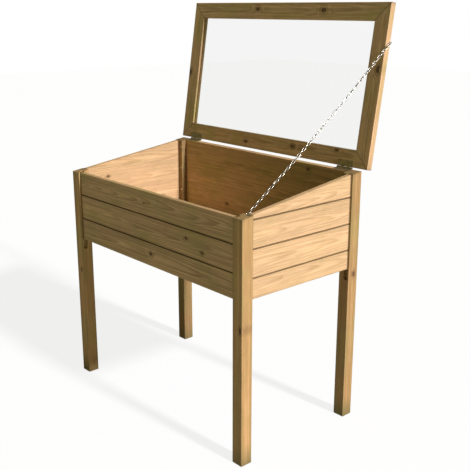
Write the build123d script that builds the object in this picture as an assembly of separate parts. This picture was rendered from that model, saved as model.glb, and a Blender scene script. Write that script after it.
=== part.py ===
from build123d import *
import math
import os

# Raised cold frame: a boarded box on four legs, with a glazed lid that is hinged along the
# back and held open by one chain. The sizes are in millimetres. X runs from left to right,
# Y from front to back and Z up. The lid is modelled open, leaning back against its chain.

# ---- Box on legs
box_width = 920.0  # over the outer faces of the legs
box_depth = 512.0  # over the outer faces of the legs
ground_clearance = 536.0  # from the ground to the underside of the boards
lid_fall = 71.0  # how far the tops fall from the back of the box to its front
leg_section = 42.0
leg_edge_round = 2.0
foot_chamfer = 1.5

# ---- Tongued and grooved boards
board_thickness = 16.0
board_pitch = 88.0  # cover of one whole board
front_lowest_cover = 80.0  # ripped narrower along its lower edge
front_highest_cover = 81.0  # ripped narrower along its upper edge
nose_drop = 8.0  # the tapered boards start this far below the front rim
board_recess = 6.0  # the legs stand proud of the boards by this much
joint_chamfer = 2.6
joint_gap = 0.4
tongue_thickness = 5.0
tongue_height = 6.0
tongue_side_gap = 0.2
tongue_end_gap = 0.5
rim_chamfer = 1.0

# ---- Grooves in the legs, which hold the ends of the boards
leg_groove_depth = 10.0
leg_groove_side_gap = 0.2
board_end_gap = 0.5
groove_runout = 40.0  # the cutter runs out this far below the boards

# ---- Floor
bearer_thickness = 24.0
bearer_height = 40.0
bearer_lift = 2.0  # above the underside of the boards
slat_count = 9
slat_thickness = 16.0
slat_gap = 6.0
floor_edge_gap = 1.0
seat_gap = 0.2

# ---- Lid
lid_side_overhang = 15.0  # beyond the outer faces of the legs
lid_front_overhang = 6.5  # beyond the front faces of the legs, when the lid lies flat
lid_thickness = 22.0
lid_member_width = 56.0
lid_edge_round = 1.5
mitre_gap = 0.1
lid_open_angle = 81.2  # of the open lid above the horizontal, leaning back
lid_rest_gap = 0.3  # between the closed lid and the tops of the front legs
pane_thickness = 3.0
pane_lip = 7.4  # wood between the pane's groove and the underside of the lid
pane_groove_depth = 8.0
pane_side_gap = 0.2
pane_edge_gap = 0.5

# ---- Butt hinges
hinge_length = 64.0
hinge_leaf_width = 25.0
hinge_leaf_thickness = 1.2
hinge_pin_radius = 1.25
hinge_pin_play = 0.05
hinge_pin_head_radius = 2.0
hinge_pin_head_height = 0.8
hinge_pin_head_gap = 0.1
hinge_knuckle_count = 5
hinge_knuckle_gap = 0.3
hinge_corner_round = 2.0
hinge_axis_behind = 4.5  # behind the back faces of the legs
hinge_lid_setback = 3.0  # from the axis to the edge of the lid
hinge_leg_gap = 1.5  # between a hinge and the leg beside it
housing_gap = 0.4
housing_floor_gap = 0.1
hinge_screw_spacing = 24.0

# ---- Countersunk screws
screw_shank_radius = 1.75
screw_head_radius = 3.5
screw_head_depth = 2.0
screw_tip_length = 4.0
screw_clearance = 0.05
screw_bite = 10.0  # length in the last board it holds
recess_width = 0.8
recess_depth = 1.0
hinge_screw_head_radius = 3.0
hinge_screw_length = 16.0
hinge_screw_tip = 3.0
back_rail_screw_offset = 9.0  # height between crossing screws in one leg
bearer_screw_count = 5
bearer_screw_inset = 50.0
bearer_screw_height = 10.0
slat_screw_spacing = 36.0
outer_screw_leg_distance = 8.889  # from a leg to the nearest screw of the slat notched round it
lid_screw_length = 60.0
lid_screw_inset = 15.0

# ---- Stay chain and its screw eyes
chain_wire = 2.2
chain_nominal_pitch = 13.0
chain_inner_width = 4.2
chain_play = 0.2
chain_sag = 9.0
eye_wire_radius = 1.3
eye_ring_radius = 4.8
eye_shank_radius = 1.2
eye_shank_depth = 14.0
eye_shank_clearance = 0.05
eye_base_gap = 1.0
lid_eye_distance = 397.0  # from the hinged edge of the lid
box_eye_inset = 7.0  # from the inner face of the front right leg
box_eye_top_gap = 0.209  # from the top of its ring to the plane of the sloping tops

# ---- Worked out from the sizes above
half_width = box_width / 2
half_depth = box_depth / 2
front_rim = ground_clearance + front_lowest_cover + board_pitch + front_highest_cover
slope = math.degrees(math.atan2(lid_fall, box_depth))
slope_tan = lid_fall / box_depth
tall = front_rim + lid_fall
leg_groove_width = board_thickness + 2 * leg_groove_side_gap
leg_cheek = leg_section - board_recess - board_thickness - leg_groove_side_gap
inner_half_width = half_width - board_recess - board_thickness
inner_half_depth = half_depth - board_recess - board_thickness
leg_inner_x = half_width - leg_section
leg_inner_y = half_depth - leg_section
long_board_length = 2 * (leg_inner_x + leg_groove_depth - board_end_gap)
side_board_length = 2 * (leg_inner_y + leg_groove_depth - board_end_gap)
panel_screw_length = leg_cheek + screw_bite
knuckle_bore = hinge_pin_radius + hinge_pin_play
barrel_radius = knuckle_bore + hinge_leaf_thickness
axis_above_tops = knuckle_bore  # the lower leaf is let in flush with the tops
hinge_axis_y = half_depth + hinge_axis_behind
lid_width = box_width + 2 * lid_side_overhang
lid_depth = box_depth + hinge_axis_behind - hinge_lid_setback + lid_front_overhang


def top_at(y):
    """Height of the sloping plane that the tops of the box are cut to."""
    return front_rim + (y + half_depth) * slope_tan


hinge_axis_z = top_at(hinge_axis_y) + axis_above_tops / math.cos(math.radians(slope))
hinge_x = leg_inner_x - hinge_leg_gap - hinge_length / 2
lid_turn_open = lid_open_angle - 180.0
lid_near_edge = hinge_lid_setback
lid_far_edge = hinge_lid_setback + lid_depth
closing_drop = barrel_radius + axis_above_tops - lid_rest_gap
closing_turn = math.degrees(math.asin(closing_drop / (half_depth + hinge_axis_y)))
lid_travel = slope + closing_turn - lid_turn_open

lid_place = Pos(0, hinge_axis_y, hinge_axis_z) * Rot(X=lid_turn_open)
eye_standoff = eye_base_gap + eye_wire_radius + eye_ring_radius
eye_reach = eye_standoff + eye_ring_radius + eye_wire_radius


def lid_point(x, y, z):
    """Point of the open lid, from its place on a lid that lies flat with the axis at zero."""
    return (lid_place * Pos(x, y, z)).position


# The origin lies on the ground, under the middle of the whole object with its lid open.
left_end = -lid_width / 2
right_end = lid_width / 2 + eye_reach
back_end = lid_point(0, -lid_far_edge, barrel_radius + lid_thickness).Y
origin_shift = Pos(-(left_end + right_end) / 2, -(back_end - half_depth) / 2, 0)


def save(name, solids):
    """Write one node, which may be a group of separate solids."""
    moved = [origin_shift * solid for solid in solids]
    shape = moved[0] if len(moved) == 1 else Compound(children=moved)
    export_step(shape, f"parts/{name}.step")


def turned_profile(points):
    """Solid of revolution about Z, from a half outline in X and Z."""
    outline = make_face(Plane.XZ * Polyline(*points, close=True))
    return revolve(outline, Axis.Z)


def screw(length, head_radius, head_depth, tip):
    """Countersunk screw that points down, with the top of its head at zero."""
    body = turned_profile(
        [
            (0, 0),
            (head_radius, 0),
            (screw_shank_radius, -head_depth),
            (screw_shank_radius, tip - length),
            (0, -length),
        ]
    )
    for turn in (0, 90):
        body -= Rot(Z=turn) * Box(head_radius, recess_width, 2 * recess_depth)
    return body


def screw_hole(length, head_radius, head_depth):
    """Hole for that screw, with its countersink."""
    shank = screw_shank_radius + screw_clearance
    mouth = head_radius + screw_clearance
    bottom = -length - screw_clearance
    return turned_profile(
        [
            (0, head_depth),
            (mouth, head_depth),
            (mouth, 0),
            (shank, -head_depth),
            (shank, bottom),
            (0, bottom),
        ]
    )


def facing(x, y, z, out):
    """Place on a face, with Z pointing out of it."""
    return Plane(origin=(x, y, z), z_dir=out).location


def wood_screw(length):
    return screw(length, screw_head_radius, screw_head_depth, screw_tip_length)


def wood_screw_hole(length):
    return screw_hole(length, screw_head_radius, screw_head_depth)


# ---- Screw places that more than one piece needs
first_joint = ground_clearance + front_lowest_cover
front_joints = [first_joint, first_joint + board_pitch]
side_joints = [front_rim - nose_drop - board_pitch * step for step in (2, 1, 0)]
front_levels = [ground_clearance] + front_joints
side_levels = [ground_clearance] + side_joints


def row_middles(levels, last_top):
    """Middle height of each board of a wall."""
    tops = levels[1:] + [last_top]
    return [(low + high) / 2 for low, high in zip(levels, tops)]


def end_screws_long(front):
    """Screws through the legs' inner cheeks into the ends of the front or back boards."""
    side = -1 if front else 1
    x = leg_inner_x + leg_groove_depth / 2
    y = side * leg_inner_y
    levels = front_levels if front else side_levels
    last_top = front_rim if front else top_at(half_depth)
    heights = row_middles(levels, last_top)
    return [
        facing(hand * x, y, z + back_rail_screw_offset, (0, -side, 0))
        for hand in (-1, 1)
        for z in heights
    ]


def end_screws_side(hand):
    """Screws through the legs' inner cheeks into the ends of the boards of one side.

    The thin front end of the tapered board would split, so it has none and is held by
    its tongue joint and by the groove in the leg."""
    places = []
    for side in (-1, 1):
        y = side * (leg_inner_y + leg_groove_depth / 2)
        heights = row_middles(side_levels, top_at(y))
        if side < 0:
            heights.pop()
        places += [facing(hand * leg_inner_x, y, z, (-hand, 0, 0)) for z in heights]
    return places


slat_width = (2 * (inner_half_width - floor_edge_gap) - (slat_count - 1) * slat_gap) / slat_count
slat_step = slat_width + slat_gap
slat_centres = [(number - (slat_count - 1) / 2) * slat_step for number in range(slat_count)]
bearer_bottom = ground_clearance + bearer_lift
bearer_top = bearer_bottom + bearer_height
slat_bottom = bearer_top + seat_gap
slat_top = slat_bottom + slat_thickness
bearer_middle_y = inner_half_depth - seat_gap - bearer_thickness / 2
bearer_half_length = leg_inner_x - floor_edge_gap
bearer_screw_length = bearer_thickness + screw_bite
slat_screw_length = slat_thickness + screw_bite


def bearer_screws(side):
    """Screws through a bearer into the lowest board of the front or the back."""
    reach = bearer_half_length - bearer_screw_inset
    step = 2 * reach / (bearer_screw_count - 1)
    y = side * (bearer_middle_y - bearer_thickness / 2)
    z = bearer_bottom + bearer_screw_height
    return [
        facing(-reach + step * number, y, z, (0, -side, 0))
        for number in range(bearer_screw_count)
    ]


def slat_screws(centre):
    """Screws through both ends of one slat into the bearers.

    On the outermost slats they keep their distance from the legs instead."""
    middle = centre
    if abs(centre) == slat_centres[-1]:
        outer_screw = leg_inner_x - outer_screw_leg_distance
        middle = math.copysign(outer_screw - slat_screw_spacing / 2, centre)
    return [
        facing(middle + hand * slat_screw_spacing / 2, side * bearer_middle_y, slat_top, (0, 0, 1))
        for hand in (-1, 1)
        for side in (-1, 1)
    ]


def cut_holes(solid, places, length):
    """The solid with a screw hole at each place that reaches it."""
    hole = wood_screw_hole(length)
    for place in places:
        solid -= place * hole
    return solid


panel_screw_places = [
    end_screws_long(True),
    end_screws_long(False),
    end_screws_side(-1),
    end_screws_side(1),
]
box_eye_x = leg_inner_x + box_eye_inset
box_ring_y = eye_standoff - leg_inner_y
box_eye_z = top_at(box_ring_y) - box_eye_top_gap - eye_ring_radius - eye_wire_radius
eye_hole = Cylinder(
    eye_shank_radius + eye_shank_clearance,
    eye_shank_depth + eye_shank_clearance,
    align=(Align.CENTER, Align.CENTER, Align.MAX),
)
box_eye_place = facing(box_eye_x, -leg_inner_y, box_eye_z, (0, 1, 0))
lid_eye_local = facing(
    lid_width / 2,
    -(hinge_lid_setback + lid_eye_distance),
    barrel_radius + lid_thickness / 2,
    (1, 0, 0),
)

# ---- Everything above the sloping tops of the box
roof_outline = [
    (-box_depth, top_at(-box_depth)),
    (box_depth, top_at(box_depth)),
    (box_depth, 2 * tall),
    (-box_depth, 2 * tall),
]
roof = extrude(
    make_face(Plane.YZ * Polyline(*roof_outline, close=True)), box_width, both=True
)


def beside_leg(place, hand, side):
    """Whether a screw place lies on the leg of this corner."""
    return place.position.X * hand > 0 and place.position.Y * side > 0


def leg(hand, side):
    """One square leg: hand is -1 for left and 1 for right, side is -1 for front and 1 for back."""
    blank = Box(leg_section, leg_section, tall, align=(Align.CENTER, Align.CENTER, Align.MIN))
    blank = fillet(blank.edges().filter_by(Axis.Z), leg_edge_round)
    blank = chamfer(blank.faces().sort_by(Axis.Z)[0].edges(), foot_chamfer)
    middle_x = half_width - leg_section / 2
    middle_y = half_depth - leg_section / 2
    solid = Pos(hand * middle_x, side * middle_y, 0) * blank
    solid -= roof
    # The groove for the boards ends in the half round that its cutter leaves.
    groove_bottom = ground_clearance - groove_runout
    groove_middle = board_recess + board_thickness / 2
    groove = Box(
        2 * leg_groove_depth,
        leg_groove_width,
        tall - groove_bottom,
        align=(Align.CENTER, Align.CENTER, Align.MIN),
    )
    groove += Rot(Y=90) * Cylinder(leg_groove_width / 2, 2 * leg_groove_depth)
    lift = groove_bottom + leg_groove_width / 2
    solid -= Pos(hand * leg_inner_x, side * (half_depth - groove_middle), lift) * groove
    solid -= Pos(hand * (half_width - groove_middle), side * leg_inner_y, lift) * Rot(Z=90) * groove
    for places in panel_screw_places:
        own_places = [place for place in places if beside_leg(place, hand, side)]
        solid = cut_holes(solid, own_places, panel_screw_length)
    if (hand, side) == (1, -1):
        solid -= box_eye_place * eye_hole
    return solid


def board(length, low, high, tongue, groove):
    """Board along X with its outer face at zero and its inner face at board_thickness.

    It has a tongue along its top edge or a groove along its bottom edge where another
    board meets it, and a chamfer on the outer face beside each joint."""
    top = high - joint_gap / 2 if tongue else high
    bottom = low + joint_gap / 2 if groove else low
    upper = joint_chamfer if tongue else rim_chamfer
    lower = joint_chamfer if groove else rim_chamfer
    outline = [(upper, top), (0, top - upper), (0, bottom + lower), (lower, bottom)]
    if groove:
        half = tongue_thickness / 2 + tongue_side_gap
        depth = tongue_height + tongue_end_gap - joint_gap
        middle = board_thickness / 2
        outline += [(middle - half, bottom), (middle - half, bottom + depth)]
        outline += [(middle + half, bottom + depth), (middle + half, bottom)]
    outline += [(board_thickness, bottom), (board_thickness, top)]
    if tongue:
        half = tongue_thickness / 2
        middle = board_thickness / 2
        outline += [(middle + half, top), (middle + half, top + tongue_height)]
        outline += [(middle - half, top + tongue_height), (middle - half, top)]
    return extrude(make_face(Plane.YZ * Polyline(*outline, close=True)), length / 2, both=True)


def wall(length, levels, top):
    """Boards of one wall, from the bottom up."""
    count = len(levels)
    return [
        board(length, low, high, number < count - 1, number > 0)
        for number, (low, high) in enumerate(zip(levels, levels[1:] + [top]))
    ]


def hinge_leaf(own, outward):
    """One leaf of a butt hinge with its knuckles, along X with the axis at zero.

    own is the number of its first knuckle; outward is 1 for the leaf under the lid and
    -1 for the leaf on the box."""
    plate = Rectangle(hinge_length, hinge_leaf_width, align=(Align.CENTER, Align.MAX))
    far_corners = plate.vertices().group_by(Axis.Y)[0]
    plate = fillet(far_corners, hinge_corner_round)
    leaf = extrude(plate, hinge_leaf_thickness)
    start = knuckle_bore if outward > 0 else -barrel_radius
    leaf = Pos(0, 0, start) * leaf
    knuckle = hinge_length / hinge_knuckle_count
    for number in range(hinge_knuckle_count):
        middle = (number + 0.5) * knuckle - hinge_length / 2
        if number % 2 == own:
            width = knuckle - hinge_knuckle_gap
            leaf += Pos(middle, 0, 0) * Rot(Y=90) * Cylinder(barrel_radius, width)
        else:
            reach = barrel_radius + hinge_knuckle_gap
            width = knuckle + hinge_knuckle_gap
            leaf -= Pos(middle, 0, 0) * Box(width, 2 * reach, 2 * reach)
    leaf -= Rot(Y=90) * Cylinder(knuckle_bore, hinge_length)
    for place in leaf_screw_places(outward):
        leaf -= place * screw_hole(hinge_screw_length, hinge_screw_head_radius, hinge_leaf_thickness)
    return leaf


def leaf_screw_places(outward):
    """Places of the three screws of a leaf, in line with the middle of the back board."""
    board_middle = half_depth - board_recess - board_thickness / 2
    reach = (hinge_axis_y - board_middle) / math.cos(math.radians(slope))
    return [
        facing(step * hinge_screw_spacing, -reach, outward * knuckle_bore, (0, 0, -outward))
        for step in (-1, 0, 1)
    ]


def hinge_pin():
    """Pin with a peened head at each end."""
    pin = Cylinder(hinge_pin_radius, hinge_length + 2 * hinge_pin_head_gap)
    for end in (-1, 1):
        middle = hinge_length / 2 + hinge_pin_head_gap + hinge_pin_head_height / 2
        pin += Pos(0, 0, end * middle) * Cylinder(hinge_pin_head_radius, hinge_pin_head_height)
    return Rot(Y=90) * pin


# ---- Box: legs
os.makedirs("parts", exist_ok=True)
corner_names = {-1: "left", 1: "right"}
end_names = {-1: "front", 1: "back"}
for hand, hand_name in corner_names.items():
    for side, side_name in end_names.items():
        save(f"leg_{side_name}_{hand_name}", [leg(hand, side)])

# ---- Box: front boards, with holes for the screws from the legs and the bearer
front_face = -(half_depth - board_recess)
for number, plank in enumerate(wall(long_board_length, front_levels, front_rim), 1):
    plank = Pos(0, front_face, 0) * plank
    plank = cut_holes(plank, panel_screw_places[0], panel_screw_length)
    if number == 1:
        plank = cut_holes(plank, bearer_screws(-1), bearer_screw_length)
    save(f"front_board_{number}", [plank])

# ---- Box: back boards; the highest one follows the slope and houses the hinges
box_hinge_places = [
    Pos(hand * hinge_x, hinge_axis_y, hinge_axis_z) * Rot(X=slope) for hand in (-1, 1)
]
housing = Pos(0, 0, -barrel_radius - housing_floor_gap) * Box(
    hinge_length + 2 * housing_gap,
    2 * (hinge_leaf_width + housing_gap),
    4 * barrel_radius,
    align=(Align.CENTER, Align.CENTER, Align.MIN),
)
back_planks = wall(long_board_length, side_levels, tall)
for number, plank in enumerate(back_planks, 1):
    plank = Pos(0, -front_face, 0) * Rot(Z=180) * plank
    plank = cut_holes(plank, panel_screw_places[1], panel_screw_length)
    if number == 1:
        plank = cut_holes(plank, bearer_screws(1), bearer_screw_length)
    if number == len(back_planks):
        plank -= roof
        for place in box_hinge_places:
            plank -= place * housing
            for screw_place in leaf_screw_places(-1):
                plank -= place * screw_place * screw_hole(
                    hinge_screw_length, hinge_screw_head_radius, hinge_leaf_thickness
                )
    save(f"back_board_{number}", [plank])

# ---- Box: side boards; the highest one tapers with the slope
for hand, hand_name in corner_names.items():
    planks = wall(side_board_length, side_levels, tall)
    for number, plank in enumerate(planks, 1):
        plank = Pos(hand * (half_width - board_recess), 0, 0) * Rot(Z=hand * 90) * plank
        places = panel_screw_places[2] if hand < 0 else panel_screw_places[3]
        plank = cut_holes(plank, places, panel_screw_length)
        if number == len(planks):
            plank -= roof
        save(f"{hand_name}_board_{number}", [plank])

# ---- Floor: two bearers and the slats that lie across them
for side, side_name in end_names.items():
    bearer = Pos(0, side * bearer_middle_y, bearer_bottom + bearer_height / 2) * Box(
        2 * bearer_half_length, bearer_thickness, bearer_height
    )
    bearer = cut_holes(bearer, bearer_screws(side), bearer_screw_length)
    for centre in slat_centres:
        bearer = cut_holes(bearer, slat_screws(centre), slat_screw_length)
    save(f"bearer_{side_name}", [bearer])

slat_length = 2 * (inner_half_depth - floor_edge_gap)
corner_notch = Box(2 * leg_section, 2 * leg_section, tall)
notch_x = leg_inner_x - floor_edge_gap + leg_section
notch_y = leg_inner_y - floor_edge_gap + leg_section
for number, centre in enumerate(slat_centres, 1):
    slat = Pos(centre, 0, slat_bottom + slat_thickness / 2) * Box(
        slat_width, slat_length, slat_thickness
    )
    # The outermost slats are notched round the legs.
    for hand in (-1, 1):
        for side in (-1, 1):
            slat -= Pos(hand * notch_x, side * notch_y, tall / 2) * corner_notch
    slat = cut_holes(slat, slat_screws(centre), slat_screw_length)
    save(f"floor_slat_{number}", [slat])

# ---- Screws of the box
panel_screw = wood_screw(panel_screw_length)
for name, places in zip(("front", "back", "left", "right"), panel_screw_places):
    save(f"{name}_panel_screws", [place * panel_screw for place in places])
bearer_screw = wood_screw(bearer_screw_length)
save("bearer_screws", [place * bearer_screw for side in (-1, 1) for place in bearer_screws(side)])
slat_screw = wood_screw(slat_screw_length)
save(
    "floor_screws",
    [place * slat_screw for centre in slat_centres for place in slat_screws(centre)],
)

# ---- Lid, modelled flat with the hinge axis at zero and its underside at barrel_radius
lid_bottom = barrel_radius
pane_middle = lid_bottom + pane_lip + pane_side_gap + pane_thickness / 2


def lid_member(length, width):
    """Lid member along X, with its outer edge at zero.

    It is mitred at both ends and grooved along its inner edge for the pane."""
    bar = Box(length, width, lid_thickness, align=(Align.CENTER, Align.MAX, Align.MIN))
    bar = fillet(bar.edges().filter_by(Axis.X), lid_edge_round)
    groove = Box(
        length,
        2 * pane_groove_depth,
        pane_thickness + 2 * pane_side_gap,
        align=(Align.CENTER, Align.CENTER, Align.MIN),
    )
    bar -= Pos(0, -width, pane_lip) * groove
    long_half = length / 2 - mitre_gap
    short_half = long_half - width
    corners = [(-long_half, 0), (long_half, 0), (short_half, -width), (-short_half, -width)]
    mitre = make_face(Polyline(*corners, close=True))
    return bar & extrude(mitre, lid_thickness)


lid_screw_places = [
    facing(hand * (lid_width / 2 - lid_screw_inset), edge, lid_bottom + lid_thickness / 2, (0, out, 0))
    for hand in (-1, 1)
    for edge, out in ((-lid_near_edge, 1), (-lid_far_edge, -1))
]
lid_hinge_places = [Pos(hand * hinge_x, 0, 0) for hand in (-1, 1)]
lid_screw = wood_screw(lid_screw_length)
lid_leaf_screw_places = [
    place * spot for place in lid_hinge_places for spot in leaf_screw_places(1)
]
leaf_hole = screw_hole(hinge_screw_length, hinge_screw_head_radius, hinge_leaf_thickness)

rail_back = Pos(0, -lid_near_edge, lid_bottom) * lid_member(lid_width, lid_member_width)
rail_front = Pos(0, -lid_far_edge, lid_bottom) * Rot(Z=180) * lid_member(
    lid_width, lid_member_width
)
lid_middle = -(lid_near_edge + lid_far_edge) / 2
stile = lid_member(lid_depth, lid_member_width)
stile_left = Pos(-lid_width / 2, lid_middle, lid_bottom) * Rot(Z=90) * stile
stile_right = Pos(lid_width / 2, lid_middle, lid_bottom) * Rot(Z=-90) * stile
for place in lid_leaf_screw_places:
    rail_back -= place * leaf_hole
stile_right -= lid_eye_local * eye_hole
lid_members = {
    "lid_rail_back": rail_back,
    "lid_rail_front": rail_front,
    "lid_stile_left": stile_left,
    "lid_stile_right": stile_right,
}
for name, member in lid_members.items():
    save(name, [lid_place * cut_holes(member, lid_screw_places, lid_screw_length)])

pane_inset = lid_member_width - pane_groove_depth + pane_edge_gap
pane = Pos(0, lid_middle, pane_middle) * Box(
    lid_width - 2 * pane_inset, lid_depth - 2 * pane_inset, pane_thickness
)
save("glazing_pane", [lid_place * pane])
save("lid_corner_screws", [lid_place * place * lid_screw for place in lid_screw_places])

# ---- Hinges: the leaf with three knuckles is on the box, with the pin
leaf_screw = screw(hinge_screw_length, hinge_screw_head_radius, hinge_leaf_thickness, hinge_screw_tip)
box_leaf = hinge_leaf(0, -1)
lid_leaf = hinge_leaf(1, 1)
for box_place, lid_spot, hand_name in zip(box_hinge_places, lid_hinge_places, corner_names.values()):
    save(f"hinge_box_leaf_{hand_name}", [box_place * box_leaf])
    save(f"hinge_lid_leaf_{hand_name}", [lid_place * lid_spot * lid_leaf])
    save(f"hinge_pin_{hand_name}", [box_place * hinge_pin()])
save(
    "hinge_box_screws",
    [place * spot * leaf_screw for place in box_hinge_places for spot in leaf_screw_places(-1)],
)
save("hinge_lid_screws", [lid_place * place * leaf_screw for place in lid_leaf_screw_places])

# ---- Screw eyes. Each ring lies in the plane of its shank and of the chain's pull.
box_ring = (box_eye_place * Pos(0, 0, eye_standoff)).position
lid_ring = (lid_place * lid_eye_local * Pos(0, 0, eye_standoff)).position


def chain_point(share):
    """Point on the chain's line between the two ring centres, with its slight sag."""
    straight = box_ring + (lid_ring - box_ring) * share
    return straight - Vector(0, 0, 4 * chain_sag * share * (1 - share))


line_steps = 400
line_points = [chain_point(step / line_steps) for step in range(line_steps + 1)]
line_lengths = [0.0]
for before, after in zip(line_points, line_points[1:]):
    line_lengths.append(line_lengths[-1] + (after - before).length)


def along_chain(distance):
    """Point and direction on the chain's line at a distance from the ring on the box."""
    step = 0
    while step < line_steps - 1 and line_lengths[step + 1] < distance:
        step += 1
    way = line_points[step + 1] - line_points[step]
    rest = distance - line_lengths[step]
    return line_points[step] + way.normalized() * rest, way.normalized()


def screw_eye(place, pull):
    """Screw eye that stands on a face and whose ring faces the pull."""
    out = place.z_axis.direction
    across = out.cross(pull).normalized()
    ring_place = Plane(origin=(place * Pos(0, 0, eye_standoff)).position, z_dir=across).location
    shank = Cylinder(
        eye_shank_radius,
        eye_shank_depth + eye_standoff - eye_ring_radius,
        align=(Align.CENTER, Align.CENTER, Align.MIN),
    )
    eye = place * Pos(0, 0, -eye_shank_depth) * shank
    return eye + ring_place * Torus(eye_ring_radius, eye_wire_radius)


first_pull = along_chain(0)[1]
last_pull = along_chain(line_lengths[-1])[1]
lid_eye_place = lid_place * lid_eye_local
save("chain_eye_box", [screw_eye(box_eye_place, first_pull)])
save("chain_eye_lid", [screw_eye(lid_eye_place, last_pull)])

# ---- Chain: welded links, each turned a quarter turn from the one before
hook_reach = eye_ring_radius - eye_wire_radius - chain_wire / 2 - chain_play
hung_length = line_lengths[-1] - 2 * hook_reach - chain_play - chain_wire
link_count = round(hung_length / chain_nominal_pitch)
chain_pitch = hung_length / link_count
link_inner_length = chain_pitch + chain_play
link_end_radius = (chain_inner_width + chain_wire) / 2
link_straight = link_inner_length + chain_wire - 2 * link_end_radius


def chain_link():
    """One long link in the XY plane, with its length along X."""
    half = link_straight / 2
    side_bar = Rot(Y=90) * Cylinder(chain_wire / 2, link_straight)
    link = Pos(0, link_end_radius, 0) * side_bar + Pos(0, -link_end_radius, 0) * side_bar
    bend = revolve(Plane.XZ * Pos(link_end_radius, 0) * Circle(chain_wire / 2), Axis.Z, 180)
    link += Pos(half, 0, 0) * Rot(Z=-90) * bend
    link += Pos(-half, 0, 0) * Rot(Z=90) * bend
    return link


link_shape = chain_link()
first_across = box_eye_place.z_axis.direction.cross(first_pull).normalized()
last_across = lid_eye_place.z_axis.direction.cross(last_pull).normalized()


def width_after(width, way, turn):
    """A link's width direction, square to its way and turned about it."""
    square = (width - way * width.dot(way)).normalized()
    return square * math.cos(turn) + way.cross(square) * math.sin(turn)


# The small twist left between the two rings is shared out along the chain.
quarter = math.pi / 2
unturned = width_after(first_across, last_pull, (link_count - 1) * quarter)
twist = math.atan2(unturned.cross(last_across).dot(last_pull), unturned.dot(last_across))
twist = (twist + quarter) % math.pi - quarter
links = []
for number in range(link_count):
    middle = hook_reach + (link_inner_length + chain_wire) / 2 + chain_pitch * number
    centre, way = along_chain(middle)
    turn = number * quarter + twist * number / (link_count - 1)
    width = width_after(first_across, way, turn)
    links.append(Plane(origin=centre, x_dir=way, z_dir=way.cross(width)).location * link_shape)
save("stay_chain", links)

shift = origin_shift.position
print("origin shift", round(shift.X, 3), round(shift.Y, 3))
print("hinge axis", round(hinge_axis_y + shift.Y, 3), round(hinge_axis_z, 3))
print("lid travel", round(lid_travel, 3), "closing", round(closing_turn, 3), "slope", round(slope, 3))
print("links", link_count, "pitch", round(chain_pitch, 3), "chain", round(line_lengths[-1], 2))
print("box ring", box_ring + shift, "lid ring", lid_ring + shift)
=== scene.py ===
import math

import bpy
import numpy as np
from mathutils import Euler, Matrix, Vector


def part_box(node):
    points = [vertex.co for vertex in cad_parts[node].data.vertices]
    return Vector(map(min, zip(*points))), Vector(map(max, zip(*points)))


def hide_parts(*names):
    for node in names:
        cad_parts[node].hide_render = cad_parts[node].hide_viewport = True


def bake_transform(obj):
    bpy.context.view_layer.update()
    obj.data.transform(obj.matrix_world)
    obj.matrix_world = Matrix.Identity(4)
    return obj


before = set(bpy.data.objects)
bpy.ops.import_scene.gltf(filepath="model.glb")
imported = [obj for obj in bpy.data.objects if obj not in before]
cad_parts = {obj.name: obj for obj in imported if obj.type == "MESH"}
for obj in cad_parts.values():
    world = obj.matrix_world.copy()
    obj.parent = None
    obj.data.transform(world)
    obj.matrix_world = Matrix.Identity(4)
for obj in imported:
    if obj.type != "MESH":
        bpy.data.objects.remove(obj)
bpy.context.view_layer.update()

# ---- Camera
# A standing person's view of the front right corner, with the lid open.
camera_data = bpy.data.cameras.new("camera")
camera_data.lens = 60.17
camera_data.sensor_width = 36.0
camera = bpy.data.objects.new("camera", camera_data)
bpy.context.collection.objects.link(camera)
camera_place = Vector((2.0234, -1.7334, 1.3538))
camera_turn = Euler((math.radians(73.91), 0, math.radians(48.37))).to_matrix()
camera_roll = Matrix.Rotation(math.radians(0.11), 3, "Z")
camera.matrix_world = Matrix.Translation(camera_place) @ (camera_turn @ camera_roll).to_4x4()
bpy.context.scene.camera = camera
bpy.context.scene.view_settings.view_transform = "Standard"

# ---- Legs
# Four square legs of planed, pressure treated softwood, with grooves that hold the boards.
# Their arrises are eased. All the timber here shares one way of growing its grain.


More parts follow.
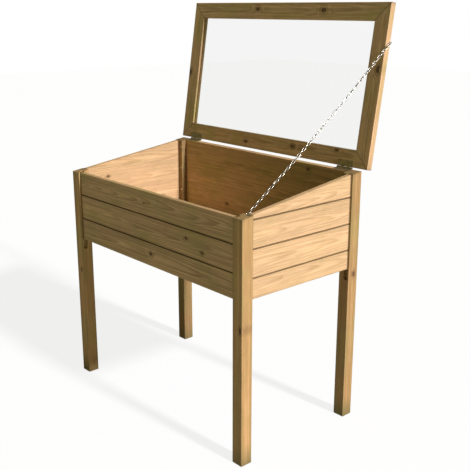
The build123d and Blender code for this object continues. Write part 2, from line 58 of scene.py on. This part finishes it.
class Graph:
    """Adds shader nodes to a tree and links them as they are made."""

    def __init__(self, tree):
        self.tree = tree

    def node(self, kind, **settings):
        made = self.tree.nodes.new(kind)
        for name, value in settings.items():
            setattr(made, name, value)
        return made

    def feed(self, socket, value):
        if isinstance(value, bpy.types.NodeSocket):
            self.tree.links.new(value, socket)
        else:
            socket.default_value = value

    def maths(self, operation, *values):
        made = self.node("ShaderNodeMath", operation=operation)
        for socket, value in zip(made.inputs, values):
            self.feed(socket, value)
        return made.outputs[0]

    def dot(self, vector, direction):
        made = self.node("ShaderNodeVectorMath", operation="DOT_PRODUCT")
        self.feed(made.inputs[0], vector)
        made.inputs[1].default_value = direction
        return made.outputs["Value"]

    def join(self, x, y, z):
        made = self.node("ShaderNodeCombineXYZ")
        for socket, value in zip(made.inputs, (x, y, z)):
            self.feed(socket, value)
        return made.outputs[0]

    def hypotenuse(self, first, second):
        """The square root of the sum of both squares."""
        squares = self.maths("POWER", first, 2.0), self.maths("POWER", second, 2.0)
        return self.maths("SQRT", self.maths("ADD", *squares))

    def noise(self, place, scale, detail=2.0, rough=0.5):
        made = self.node("ShaderNodeTexNoise")
        self.feed(made.inputs["Vector"], place)
        self.feed(made.inputs["Scale"], scale)
        self.feed(made.inputs["Detail"], detail)
        self.feed(made.inputs["Roughness"], rough)
        return made.outputs["Fac"]

    def drawn_out(self, parts, waves, detail, rough=0.5):
        """Noise drawn out along the grain, with its own number of waves a metre each way."""
        place = [self.maths("MULTIPLY", part, wave) for part, wave in zip(parts, waves)]
        return self.noise(self.join(*place), 1.0, detail, rough)

    def sway(self, noise, amount, base):
        """A base number, plus the noise taken about its middle, times the amount."""
        return self.maths("MULTIPLY_ADD", self.maths("SUBTRACT", noise, 0.5), amount, base)

    def ramp(self, value, low, high, to_low=0.0, to_high=1.0):
        """A smooth step from to_low at the low value to to_high at the high one."""
        made = self.node("ShaderNodeMapRange", clamp=True, interpolation_type="SMOOTHSTEP")
        for socket, item in zip(made.inputs, (value, low, high, to_low, to_high)):
            self.feed(socket, item)
        return made.outputs[0]

    def mix(self, share, first, second):
        """A share of the second colour over the first."""
        made = self.node("ShaderNodeMix", data_type="RGBA")
        sockets = {socket.identifier: socket for socket in made.inputs}
        self.feed(sockets["Factor_Float"], share)
        self.feed(sockets["A_Color"], first)
        self.feed(sockets["B_Color"], second)
        return next(socket for socket in made.outputs if socket.identifier == "Result_Color")

    def blend(self, share, first, second):
        """A share of the second number over the first."""
        return self.maths("MULTIPLY_ADD", share, self.maths("SUBTRACT", second, first), first)

    def mix_shader(self, share, first, second):
        made = self.node("ShaderNodeMixShader")
        for socket, value in zip(made.inputs, (share, first.outputs[0], second.outputs[0])):
            self.feed(socket, value)
        return made

    def raise_surface(self, shader, height, strength, distance):
        """Give the shader the bumps of a height map."""
        bump = self.node("ShaderNodeBump")
        bump.inputs["Strength"].default_value = strength
        bump.inputs["Distance"].default_value = distance
        self.feed(bump.inputs["Height"], height)
        self.feed(shader.inputs["Normal"], bump.outputs[0])

    def show(self, shader, kind="ShaderNodeOutputMaterial"):
        self.feed(self.node(kind).inputs["Surface"], shader.outputs[0])


def empty_finish(name):
    """A material with nothing in it yet, and the graph that fills it."""
    material = bpy.data.materials.new(name)
    material.use_nodes = True
    material.node_tree.nodes.clear()
    return material, Graph(material.node_tree)


def colour(red, green, blue):
    return (red, green, blue, 1.0)


board_wood = colour(0.600, 0.395, 0.205), colour(0.400, 0.235, 0.100)
square_wood = colour(0.478, 0.290, 0.112), colour(0.315, 0.165, 0.060)
green_tint = colour(0.410, 0.320, 0.105)
pink_tint = colour(0.660, 0.390, 0.205)
knot_streak = colour(0.215, 0.120, 0.045)
knot_heart = colour(0.110, 0.058, 0.024)
knot_rim = colour(0.060, 0.032, 0.014)
dirt = colour(0.120, 0.085, 0.040)
foot_dirt = colour(0.150, 0.120, 0.040)
# The joints' colour: dust, and the painted shade of the V joints and of the boards beside the
# legs.
joint_dirt_and_shade = colour(0.088, 0.052, 0.013)
weathered_wood = colour(0.270, 0.200, 0.070)

# Sizes of what shows in the timber, in metres.
in_groove = 0.0095  # from a board's end to the leg it stands in
heart_wander = 0.05
ring_roughness = 0.0052
narrowest_ring, widest_ring = 0.0030, 0.0046
rubbed_width = 0.0032  # from an arris
arris_stain_start, arris_stain_end = 0.001, 0.011
end_dirt_length = 0.022
leg_shadow_start, leg_shadow_end = 0.0018, 0.0070  # from a leg, along a board
foot_stain_height = 0.085
mitre_line_start, mitre_line_end = 0.0004, 0.0020
wood_bump = 0.0006

# Shares of one colour over another, and contrasts of brightness.
blush_share = 0.45
fibre_contrast = 0.46
knot_ring_share = 0.35
bark_share = 0.85
end_grain_share = 0.22
rubbed_share = 0.35
end_dirt_share = 0.38
mitre_share = 0.8

# A branch is cut at a slant, which draws its knot out along the grain, and the rings round
# it are pushed out by a bell curve.
branch_slant = 0.62
knot_bulge = 1.9
knot_reach = -0.16


def growth(g, place, waver, rough, pith, lean, knots):
    """Distance from the trunk's heart, and from the nearest knot as a share of its radius.

    The first is the hypotenuse of the two distances from the heart, across and through. The
    slow noise, waver, moves the heart sideways, and the heart leans along the piece. The
    quick noise, rough, and a bell curve round each knot are added."""
    u, v, w = place
    from_heart_v = g.maths("ADD", v, g.sway(waver, heart_wander, -pith[0]))
    from_heart_w = g.maths("ADD", g.maths("MULTIPLY_ADD", u, lean, pith[1]), w)
    radius = g.sway(rough, ring_roughness, g.hypotenuse(from_heart_v, from_heart_w))
    nearest = None
    for knot_u, knot_v, knot_radius in knots:
        along_knot = g.maths("MULTIPLY", g.maths("SUBTRACT", u, knot_u), branch_slant)
        from_knot = g.hypotenuse(along_knot, g.maths("SUBTRACT", v, knot_v))
        share = g.maths("DIVIDE", from_knot, knot_radius)
        bell = g.maths("EXPONENT", g.maths("MULTIPLY", g.maths("POWER", share, 2.0), knot_reach))
        radius = g.maths("MULTIPLY_ADD", bell, knot_bulge * knot_radius, radius)
        nearest = share if nearest is None else g.maths("MINIMUM", nearest, share)
    return radius, nearest


def softwood(
    name, centre, half, along, across, seed, pith=(0.012, 0.045), lean=0.02, knots=(),
    tone=0.0, figure=0.62, wood=board_wood, green=0.62, joint_shade=0.0, mitre=0,
    foot_stain=0.0, edge_stain=0.0,
):
    """Material of one piece of planed softwood, as a solid cut from a trunk.

    The distance from the trunk's heart, bent by slow and quick noise, gives the growth rings:
    each ring darkens slowly towards its outside and then drops back. The heart leans along
    the piece, so that the rings cut its faces in long arches. Round each knot the rings bulge,
    and the knot itself is a branch that runs through the piece, with rings of its own.

    centre and half are the piece's middle and half sizes along, across and through it. pith
    is how far the heart is from the middle across and through, and lean is how much that
    grows per metre along. knots are places along and across, and radii. tone brightens the
    wood, figure is the strength of the rings and green that of the preservative. joint_shade
    darkens V joints and the wood beside a leg, foot_stain the lowest end and edge_stain the
    arrises. mitre is 1 or -1, the way across to the outer edge of a mitred piece."""
    early_wood, late_wood = wood
    material, g = empty_finish(name)
    rng = np.random.default_rng(seed)
    shift = rng.uniform(3.0, 60.0)
    ring_width = rng.uniform(narrowest_ring, widest_ring)
    through = Vector(along).cross(Vector(across))
    coordinates = g.node("ShaderNodeTexCoord")
    moved = g.node("ShaderNodeVectorMath", operation="SUBTRACT")
    g.feed(moved.inputs[0], coordinates.outputs["Object"])
    moved.inputs[1].default_value = centre
    u, v, w = (g.dot(moved.outputs[0], way) for way in (along, across, through))
    own_u = g.maths("ADD", u, shift)

    # Each noise has its own number of waves a metre along, across and through the piece.
    waver = g.drawn_out((own_u, v, w), (2.2, 6.0, 1.0), 1.0)
    rough = g.drawn_out((own_u, v, w), (7.0, 45.0, 45.0), 2.0)
    fibre = g.drawn_out((u, v, w), (9.0, 420.0, 420.0), 3.0, 0.6)
    streak = g.drawn_out((own_u, v, w), (1.7, 105.0, 105.0), 3.0, 0.6)
    mottle = g.drawn_out((u, v, w), (16.0, 55.0, 55.0), 4.0, 0.7)
    cloud = g.noise(g.join(own_u, v, w), 5.5, 3.0, 0.6)

    # Late wood darkens over most of a ring's width and ends at once at its outside.
    radius, knot = growth(g, (u, v, w), waver, rough, pith, lean, knots)
    spread = g.noise(g.join(g.maths("MULTIPLY", radius, 55.0), shift, 0.0), 1.0, 1.0)
    uneven = g.maths("MULTIPLY", spread, 1.6)
    ring_count = g.maths("ADD", g.maths("DIVIDE", radius, ring_width), uneven)
    phase = g.maths("FRACT", ring_count)
    late = g.maths("MULTIPLY", g.ramp(phase, 0.25, 0.90), g.ramp(phase, 0.93, 1.0, 1.0, 0.0))
    height = g.maths("MULTIPLY_ADD", late, 0.55, g.maths("MULTIPLY", fibre, 0.45))

    face = g.mix(g.maths("MULTIPLY", late, figure), early_wood, late_wood)
    face = g.mix(g.ramp(cloud, 0.42, 0.72, 0.0, green), face, green_tint)
    face = g.mix(g.ramp(streak, 0.52, 0.78, 0.0, blush_share), face, pink_tint)
    shade = g.sway(fibre, fibre_contrast, 1.0 + tone)
    streak_shade = g.ramp(streak, 0.25, 0.75, 1.0 - 0.28 * figure, 1.0 + 0.20 * figure)
    shade = g.maths("MULTIPLY", shade, streak_shade)
    shade = g.maths("MULTIPLY", shade, g.ramp(mottle, 0.32, 0.68, 0.93, 1.05))
    shaded = g.node("ShaderNodeVectorMath", operation="SCALE")
    g.feed(shaded.inputs[0], face)
    g.feed(shaded.inputs["Scale"], shade)
    face = shaded.outputs[0]

    # A knot is a dark, ringed heart inside a darker rim of bark, in streaks of stained wood.
    if knot is not None:
        ragged = g.sway(rough, 0.55, knot)
        own_rings = g.maths("SINE", g.maths("MULTIPLY", ragged, 19.0))
        heart = g.mix(g.ramp(own_rings, -1.0, 1.0, 0.0, knot_ring_share), knot_heart, late_wood)
        outer_rim = g.ramp(ragged, 1.02, 1.22, 1.0, 0.0)
        rim = g.maths("MULTIPLY", g.ramp(ragged, 0.62, 0.84), outer_rim)
        inside = g.ramp(ragged, 0.90, 1.10, 1.0, 0.0)
        around = g.ramp(ragged, 1.0, 3.4, 1.0, 0.0)
        halo = g.maths("MULTIPLY", around, g.ramp(phase, 0.1, 0.6, 0.25, 0.85))
        face = g.mix(halo, face, knot_streak)
        face = g.mix(inside, face, heart)
        face = g.mix(g.maths("MULTIPLY", rim, bark_share), face, knot_rim)
        height = g.blend(inside, height, 0.35)

    # Dust and shade gather in the V joints, whose sides slope both ways.
    faces_along, faces_across, faces_through = (
        g.maths("ABSOLUTE", g.dot(coordinates.outputs["Normal"], way))
        for way in (along, across, through)
    )
    both_slopes = g.maths("MULTIPLY", faces_across, faces_through)
    face = g.mix(g.ramp(both_slopes, 0.25, 0.45, 0.0, joint_shade), face, joint_dirt_and_shade)
    # End grain drinks more preservative, and the arrises are rubbed and gather dirt.
    face = g.mix(g.ramp(faces_along, 0.75, 0.95, 0.0, end_grain_share), face, dirt)
    near_u, near_v, near_w = (
        g.maths("SUBTRACT", half_size, g.maths("ABSOLUTE", part))
        for half_size, part in zip(half, (u, v, w))
    )
    near_arris = g.maths("MAXIMUM", near_v, near_w)
    rubbed_arris = g.ramp(near_arris, 0.0, rubbed_width, rubbed_share, 0.0)
    worn = g.maths("MULTIPLY", rubbed_arris, g.ramp(streak, 0.38, 0.62))
    face = g.mix(worn, face, pink_tint)
    if edge_stain:
        at_edge = g.ramp(near_arris, arris_stain_start, arris_stain_end, edge_stain, 0.0)
        patches = g.ramp(cloud, 0.32, 0.58)
        face = g.mix(g.maths("MULTIPLY", at_edge, patches), face, weathered_wood)
    at_end = g.ramp(near_u, 0.0, end_dirt_length, end_dirt_share, 0.0)
    face = g.mix(g.maths("MULTIPLY", at_end, g.ramp(cloud, 0.35, 0.6)), face, dirt)
    # Painted shadow: each board darkens where it comes out of a leg's groove.
    if joint_shade:
        starts, ends = in_groove + leg_shadow_start, in_groove + leg_shadow_end
        face = g.mix(g.ramp(near_u, starts, ends, joint_shade, 0.0), face, joint_dirt_and_shade)
    if foot_stain:
        from_foot = g.maths("ADD", u, half[0])
        at_foot = g.ramp(from_foot, 0.0, foot_stain_height, foot_stain, 0.0)
        patches = g.ramp(cloud, 0.30, 0.55, 0.35, 1.0)
        face = g.mix(g.maths("MULTIPLY", at_foot, patches), face, foot_dirt)
    if mitre:
        inwards = g.maths("MULTIPLY_ADD", v, -mitre, half[1])
        from_mitre = g.maths("SUBTRACT", near_u, inwards)
        mitre_line = g.ramp(from_mitre, mitre_line_start, mitre_line_end, mitre_share, 0.0)
        face = g.mix(mitre_line, face, joint_dirt_and_shade)

    shader = g.node("ShaderNodeBsdfPrincipled")
    g.feed(shader.inputs["Base Color"], face)
    g.feed(shader.inputs["Roughness"], g.ramp(height, 0.1, 0.9, 0.74, 0.58))
    shader.inputs["Specular IOR Level"].default_value = 0.35
    g.raise_surface(shader, height, 0.55, wood_bump)
    g.show(shader)
    return material


def dress(node, material):
    """Give one CAD node its finish."""
    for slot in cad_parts[node].material_slots:
        slot.material = material


def straight_piece(node, along, across, seed, **grain):
    """Finish of a piece whose sides lie along the object's own directions."""
    low, high = (Vector(corner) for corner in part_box(node))
    centre = (low + high) / 2
    size = (high - low) / 2
    through = Vector(along).cross(Vector(across))
    half = [abs(size.dot(Vector(way))) for way in (along, across, through)]
    dress(node, softwood(node, centre, half, along, across, seed, **grain))


right, back, upward = (1, 0, 0), (0, 1, 0), (0, 0, 1)
leg_seed = 11
leg_knots = {
    "leg_front_left": [(0.02, 0.006, 0.0035)],
    "leg_front_right": [(0.053, 0.013, 0.0052)],
    "leg_back_left": [(-0.10, -0.004, 0.0035)],
    "leg_back_right": [(0.088, 0.003, 0.0050)],
}
# The branch in the back right leg runs from side to side, and the others from front to back.
leg_branch_sides = {"leg_back_right": back}
# The back legs are darker: the back left one much darker, as painted shade, and the back right
# one a little.
leg_tones_and_shade = {"leg_back_left": -0.38, "leg_back_right": -0.15}
for number, (node, knots) in enumerate(leg_knots.items()):
    straight_piece(
        node, upward, leg_branch_sides.get(node, right), leg_seed + number,
        pith=(0.030, 0.052), lean=0.011, knots=knots, figure=0.6, wood=square_wood,
        tone=leg_tones_and_shade.get(node, 0.0), foot_stain=0.75, edge_stain=0.6,
    )

# ---- Wall boards
# Tongued and grooved boards that lie on each other in the grooves of the legs. They have a
# V joint on the outside, and every board comes from another plank, so their tones differ.
front_seed = 40
front_knots = {
    1: [(0.006, -0.001, 0.0044)],
    2: [(0.195, 0.011, 0.0036), (0.272, -0.019, 0.0036)],
    3: [(-0.025, -0.001, 0.0018)],
}
for number, knots in front_knots.items():
    straight_piece(
        f"front_board_{number}", right, upward, front_seed + number,
        pith=(0.004 * number - 0.010, 0.018), lean=0.012 + 0.006 * number, knots=knots,
        tone=0.02 * (number - 2) - 0.04, figure=0.95, green=0.75, joint_shade=0.80,
    )
back_seed = 50
back_knots = {
    1: [(0.21, 0.01, 0.004)],
    2: [(-0.17, -0.01, 0.004)],
    3: [(0.08, 0.015, 0.0045)],
    4: [(0.247, 0.018, 0.0035)],
}
for number, knots in back_knots.items():
    straight_piece(
        f"back_board_{number}", right, upward, back_seed + number,
        pith=(0.010 - 0.006 * number, 0.022), lean=0.020, knots=knots,
        tone=0.03 * (number % 2) - 0.04, green=0.85, joint_shade=0.72,
    )
side_seeds = {"left": 100, "right": 110}
side_knots = {("left", 2): [(0.13, -0.012, 0.004)], ("left", 3): [(-0.12, 0.014, 0.0035)]}
# The side boards have fainter rings and weaker green than the front: painted light, copying the
# washed-out look of the sunlit right side.
for side, side_seed in side_seeds.items():
    for number in range(1, 5):
        straight_piece(
            f"{side}_board_{number}", back, upward, side_seed + number,
            pith=(0.012 - 0.007 * number, 0.020), lean=0.024,
            knots=side_knots.get((side, number), []), tone=0.02 * (number % 3) - 0.02,
            figure=0.50, green=0.22, joint_shade=0.85,
        )

# ---- Floor
# Two bearers, screwed to the lowest boards, carry nine slats of the same timber. The slats
# are screwed down with gaps between them, so that water drains.
bearer_seed = 130
for number, node in enumerate(("bearer_front", "bearer_back")):
    straight_piece(
        node, right, upward, bearer_seed + number, pith=(0.0, 0.030), lean=0.014, tone=-0.08
    )
slat_seed = 140
slat_nodes = sorted(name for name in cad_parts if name.startswith("floor_slat_"))
for number, node in enumerate(slat_nodes):
    slat_knot = (0.14 - 0.05 * number, 0.012 * (-1) ** number, 0.005)
    straight_piece(
        node, back, right, slat_seed + number, pith=(0.006 * (number % 4) - 0.01, 0.024),
        lean=0.018, knots=[slat_knot], tone=-0.08 + 0.03 * (number % 3),
    )

# ---- Screws
# Zinc plated, countersunk screws with a cross recess. Those of the walls are driven from
# inside, through the legs' cheeks, so that none shows on the outside.
zinc_bump = 0.0002


def zinc(name, body, dull, roughness, dull_roughness, scale, rub_and_shade=None):
    """Plated steel: noise shares the surface between bright zinc and its dull bloom.

    scale is how many patches of bloom there are in a metre. The last argument names a mesh
    attribute, 1 where the piece is worn bright and -1 where its dull colour paints shade."""
    material, g = empty_finish(name)
    coordinates = g.node("ShaderNodeTexCoord")
    bloom = g.noise(coordinates.outputs["Object"], scale, 4.0, 0.65)
    share = g.ramp(bloom, 0.38, 0.66)
    if rub_and_shade:
        # Where the attribute is low, on the insides of the wire, the dull colour is painted
        # shade.
        rub_and_shade_input = g.node("ShaderNodeAttribute", attribute_name=rub_and_shade)
        dull_and_shaded = g.ramp(rub_and_shade_input.outputs["Fac"], -0.7, 0.15, 1.0, 0.0)
        share = g.maths("MAXIMUM", g.maths("MULTIPLY", share, 0.6), dull_and_shaded)
    shader = g.node("ShaderNodeBsdfPrincipled")
    g.feed(shader.inputs["Base Color"], g.mix(share, body, dull))
    g.feed(shader.inputs["Roughness"], g.ramp(bloom, 0.38, 0.66, roughness, dull_roughness))
    shader.inputs["Metallic"].default_value = 1.0
    pitting = g.noise(coordinates.outputs["Object"], scale * 6, 3.0)
    g.raise_surface(shader, pitting, 0.25, zinc_bump)
    g.show(shader)
    return material


screw_finish = zinc(
    "screw_zinc", colour(0.66, 0.63, 0.56), colour(0.42, 0.40, 0.36), 0.32, 0.55, 260.0
)
box_screws = (
    "front_panel_screws", "back_panel_screws", "left_panel_screws", "right_panel_screws",
    "bearer_screws", "floor_screws",
)
for node in box_screws:
    dress(node, screw_finish)

# ---- Lid frame
# Four mitred members of planed softwood, grooved for the pane and screwed at the corners.
# The grain follows each member, so it turns a corner at every mitre.
lid_lean = math.radians(8.8)
up_lid = Vector((0, math.sin(lid_lean), math.cos(lid_lean)))
member_half_width = 0.028
member_half_thickness = 0.011
lid_members = {
    "lid_rail_back": (
        right, up_lid, -1, 201,
        [(-0.101, -0.006, 0.0040), (0.139, 0.006, 0.0045), (0.339, 0.020, 0.0035)],
    ),
    "lid_rail_front": (
        right, up_lid, 1, 202, [(-0.119, 0.006, 0.0048), (0.200, 0.003, 0.0055)]
    ),
    "lid_stile_left": (up_lid, right, -1, 203, [(-0.005, -0.020, 0.0060)]),
    "lid_stile_right": (up_lid, right, 1, 204, [(0.055, 0.012, 0.0060)]),
}
# A leaning stile's box is as high as its length times the cosine of the lean, plus its
# thickness times the sine. A rail's box is as wide as the rail is long.
for node, (along, across, outside, seed, knots) in lid_members.items():
    low, high = (Vector(corner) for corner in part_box(node))
    if along is up_lid:
        thickness_rise = 2 * member_half_thickness * up_lid.y
        length = (high.z - low.z - thickness_rise) / up_lid.z
    else:
        length = high.x - low.x
    finish = softwood(
        node, (low + high) / 2, (length / 2, member_half_width, member_half_thickness),
        along, across, seed, pith=(0.004, 0.024), lean=0.020, knots=knots, figure=0.75,
        green=0.95, mitre=outside,
    )
    dress(node, finish)
dress("lid_corner_screws", screw_finish)

# ---- Pane
# One clear, smooth sheet, 3 mm thick, loose in the groove of the frame. A little of what
# is around it shows in it, and it is faintly green.
pane_finish, pane_graph = empty_finish("clear_pane")
pane_clear = pane_graph.node("ShaderNodeBsdfTransparent")
pane_clear.inputs["Color"].default_value = colour(0.975, 0.978, 0.976)
pane_shine = pane_graph.node("ShaderNodeBsdfGlossy")
pane_shine.inputs["Roughness"].default_value = 0.03
pane_facing = pane_graph.node("ShaderNodeLayerWeight").outputs["Facing"]
pane_grazing = pane_graph.maths("POWER", pane_facing, 5.0)
pane_share = pane_graph.maths("MULTIPLY_ADD", pane_grazing, 0.6, 0.03)
pane_graph.show(pane_graph.mix_shader(pane_share, pane_clear, pane_shine))
dress("glazing_pane", pane_finish)

# ---- Hinges
# Two pressed steel butt hinges, zinc plated and passivated to a dull yellow. The box leaf is
# let into the back board, and the lid leaf lies on the underside of the back rail.
hinge_finish = zinc(
    "hinge_zinc", colour(0.46, 0.36, 0.19), colour(0.30, 0.24, 0.13), 0.45, 0.65, 90.0
)
for side in ("left", "right"):
    for part in ("box_leaf", "lid_leaf", "pin"):
        dress(f"hinge_{part}_{side}", hinge_finish)
dress("hinge_box_screws", hinge_finish)
dress("hinge_lid_screws", hinge_finish)

# ---- Screw eyes and stay chain
# Bright zinc plated wire: a screw eye in the front right leg, one in the lid's right edge,
# and a chain of welded links between them that stops the open lid from falling back.
# The chain's dull colour is almost black. In patches it is bloom, and on the links' insides it
# is painted shade.
chain_finish = zinc(
    "chain_zinc", colour(0.70, 0.66, 0.57), colour(0.080, 0.070, 0.055), 0.28, 0.42, 220.0,
    rub_and_shade="rub_and_shade",
)
eye_finish = zinc(
    "eye_zinc", colour(0.46, 0.43, 0.36), colour(0.16, 0.15, 0.125), 0.24, 0.40, 220.0
)
dress("chain_eye_box", eye_finish)
dress("chain_eye_lid", eye_finish)
chain_wire_radius = 0.0011
chain_usual_pitch = 0.013
link_inner_half_width = 0.0021
eye_ring_radius = 0.0048
eye_wire_radius = 0.0013
chain_play = 0.0002
chain_sag = 0.009
line_points = 801
wire_sides = 8
bend_steps = 7
wire_angles = np.linspace(0, 2 * math.pi, wire_sides, endpoint=False)


def link_mesh(pitch):
    """One link as a round wire carried round a long loop.

    The loop is two half circles of the link's end radius, joined by straight sides. A point of
    the wire is the loop's point plus the wire's radius times the cosine of its angle outwards
    and the sine across the loop's plane."""
    end_radius = link_inner_half_width + chain_wire_radius
    straight = (pitch + chain_play) / 2 + chain_wire_radius - end_radius
    angle = np.linspace(-math.pi / 2, math.pi / 2, bend_steps)
    out = np.stack([np.cos(angle), np.sin(angle)], axis=1)
    out = np.concatenate([out, -out])
    middle = np.repeat([[straight, 0.0], [-straight, 0.0]], bend_steps, axis=0)
    loop = middle + end_radius * out
    outwards = chain_wire_radius * np.cos(wire_angles)[None, :, None]
    flat = loop[:, None, :] + outwards * out[:, None, :]
    across = np.broadcast_to(chain_wire_radius * np.sin(wire_angles), flat.shape[:2])
    points = np.concatenate([flat, across[:, :, None]], axis=2).reshape(-1, 3)
    ring = np.arange(2 * bend_steps)[:, None] * wire_sides
    next_ring = np.roll(ring, -1, axis=0)
    side = np.arange(wire_sides)[None, :]
    next_side = np.roll(side, -1, axis=1)
    corners = [ring + side, next_ring + side, next_ring + next_side, ring + next_side]
    return points, np.stack(corners, axis=2).reshape(-1, 4)


def unit(vectors):
    """Each vector divided by its own length."""
    return vectors / np.linalg.norm(vectors, axis=-1, keepdims=True)


# Each ring's middle is its outer radius inside the far end of its eye's box.
ring_outside = eye_ring_radius + eye_wire_radius
box_eye_low, box_eye_high = (np.array(corner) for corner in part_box("chain_eye_box"))
lid_eye_low, lid_eye_high = (np.array(corner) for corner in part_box("chain_eye_lid"))
box_ring = (box_eye_low + box_eye_high) / 2
box_ring[1] = box_eye_high[1] - ring_outside
lid_ring = (lid_eye_low + lid_eye_high) / 2
lid_ring[0] = lid_eye_high[0] - ring_outside

# The chain's line is straight between the rings, less a shallow parabola for its own weight.
share = np.linspace(0, 1, line_points)[:, None]
line = box_ring + (lid_ring - box_ring) * share
line[:, 2:] -= 4 * chain_sag * share * (1 - share)
steps = np.diff(line, axis=0)
travelled = np.concatenate([[0.0], np.cumsum(np.linalg.norm(steps, axis=1))])

# The end links bear on the insides of the rings, and whole links of even pitch fill the
# length between them.
hook = eye_ring_radius - eye_wire_radius - chain_wire_radius - chain_play
hung = travelled[-1] - 2 * hook - chain_play - 2 * chain_wire_radius
link_count = round(hung / chain_usual_pitch)
pitch = hung / link_count
link_points, link_faces = link_mesh(pitch)
order = np.arange(link_count)
middles = hook + (pitch + chain_play) / 2 + chain_wire_radius + pitch * order
centres = np.stack([np.interp(middles, travelled, part) for part in line.T], axis=1)
ways = unit(np.stack([np.interp(middles, travelled[1:], part) for part in steps.T], axis=1))

# Neighbouring links are a quarter turn apart, and what is left over to face both eyes is
# shared out as a slight twist.
first_across = unit(np.cross((0.0, 1.0, 0.0), steps[0]))
last_across = unit(np.cross((1.0, 0.0, 0.0), steps[-1]))


def turned(direction, way, turn):
    """A direction made square to its way and turned about it: cosine times itself plus sine
    times the way crossed with it."""
    square = unit(direction - way * np.sum(way * direction, axis=-1, keepdims=True))
    return square * np.cos(turn) + np.cross(way, square) * np.sin(turn)


quarter = math.pi / 2
end_way = unit(steps[-1])
unturned = turned(first_across, end_way, (link_count - 1) * quarter)
twist = math.atan2(np.cross(unturned, last_across) @ end_way, unturned @ last_across)
twist = (twist + quarter) % math.pi - quarter
turn = (order * quarter + twist * order / (link_count - 1))[:, None]
widths = turned(first_across, ways, turn)
normals = np.cross(ways, widths)
axes = np.stack([ways, widths, normals], axis=1)
chain_points = centres[:, None, :] + np.einsum("pk,nkj->npj", link_points, axes)
chain_faces = link_faces[None] + (order * len(link_points))[:, None, None]
chain_mesh = bpy.data.meshes.new("chain")
chain_mesh.from_pydata(chain_points.reshape(-1, 3), [], chain_faces.reshape(-1, 4).tolist())
chain_mesh.polygons.foreach_set("use_smooth", np.ones(len(chain_mesh.polygons), dtype=bool))
# The outsides of the links are rubbed bright and their insides painted as shade: the cosine of a
# point's angle round the wire.
rub_and_shade = np.tile(np.cos(wire_angles), len(chain_mesh.vertices) // wire_sides)
chain_mesh.attributes.new("rub_and_shade", "FLOAT", "POINT").data.foreach_set("value", rub_and_shade)
chain_mesh.materials.append(chain_finish)
chain = bpy.data.objects.new("chain", chain_mesh)
bpy.context.collection.objects.link(chain)
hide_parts("stay_chain")
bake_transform(chain)

# ---- Studio floor and light
# A plain pale floor, one soft key light from the right and slightly behind, which leaves the
# front in open shade, and an even pale surround.
floor_half = 14.0
floor_cells = 8
floor_lift_share = 0.84
grid = np.linspace(-floor_half, floor_half, floor_cells + 1)
floor_x, floor_y = np.meshgrid(grid, grid, indexing="ij")
floor_points = np.stack([floor_x, floor_y, np.zeros_like(floor_x)], axis=2).reshape(-1, 3)
rows, columns = np.meshgrid(np.arange(floor_cells), np.arange(floor_cells), indexing="ij")
corner = (rows * len(grid) + columns).reshape(-1)
next_row = corner + len(grid)
floor_faces = np.stack([corner, next_row, next_row + 1, corner + 1], axis=1)
floor_mesh = bpy.data.meshes.new("floor")
floor_mesh.from_pydata(floor_points, [], floor_faces.tolist())
floor = bpy.data.objects.new("floor", floor_mesh)
bpy.context.collection.objects.link(floor)
floor_finish, floor_graph = empty_finish("pale_floor")
floor_seen = floor_graph.node("ShaderNodeLightPath").outputs["Is Camera Ray"]
floor_shader = floor_graph.node("ShaderNodeBsdfPrincipled")
floor_tone = floor_graph.mix(floor_seen, colour(0.47, 0.45, 0.38), colour(0.95, 0.95, 0.95))
floor_graph.feed(floor_shader.inputs["Base Color"], floor_tone)
floor_shader.inputs["Roughness"].default_value = 0.9
floor_lift = floor_graph.node("ShaderNodeEmission")
floor_lift.inputs["Color"].default_value = colour(1.0, 1.0, 1.0)
lift_share = floor_graph.maths("MULTIPLY", floor_seen, floor_lift_share)
floor_graph.show(floor_graph.mix_shader(lift_share, floor_shader, floor_lift))
floor_mesh.materials.append(floor_finish)

world = bpy.data.worlds.new("surround")
world.use_nodes = True
world.node_tree.nodes.clear()
world_graph = Graph(world.node_tree)
surround = world_graph.node("ShaderNodeBackground")
surround.inputs["Color"].default_value = colour(0.91, 1.0, 0.48)
surround.inputs["Strength"].default_value = 0.175
backdrop = world_graph.node("ShaderNodeBackground")
backdrop.inputs["Color"].default_value = colour(1.0, 1.0, 1.0)
backdrop.inputs["Strength"].default_value = 1.0
world_seen = world_graph.node("ShaderNodeLightPath").outputs["Is Camera Ray"]
world_graph.show(
    world_graph.mix_shader(world_seen, surround, backdrop), "ShaderNodeOutputWorld"
)
bpy.context.scene.world = world

key_data = bpy.data.lights.new("key", "SUN")
key_data.energy = 5.05
key_data.angle = math.radians(5.0)
key_data.color = (1.0, 0.965, 1.04)
key = bpy.data.objects.new("key", key_data)
bpy.context.collection.objects.link(key)
key_from = Vector((0.85, 0.058, 0.53))
key.rotation_euler = key_from.to_track_quat("Z", "Y").to_euler()
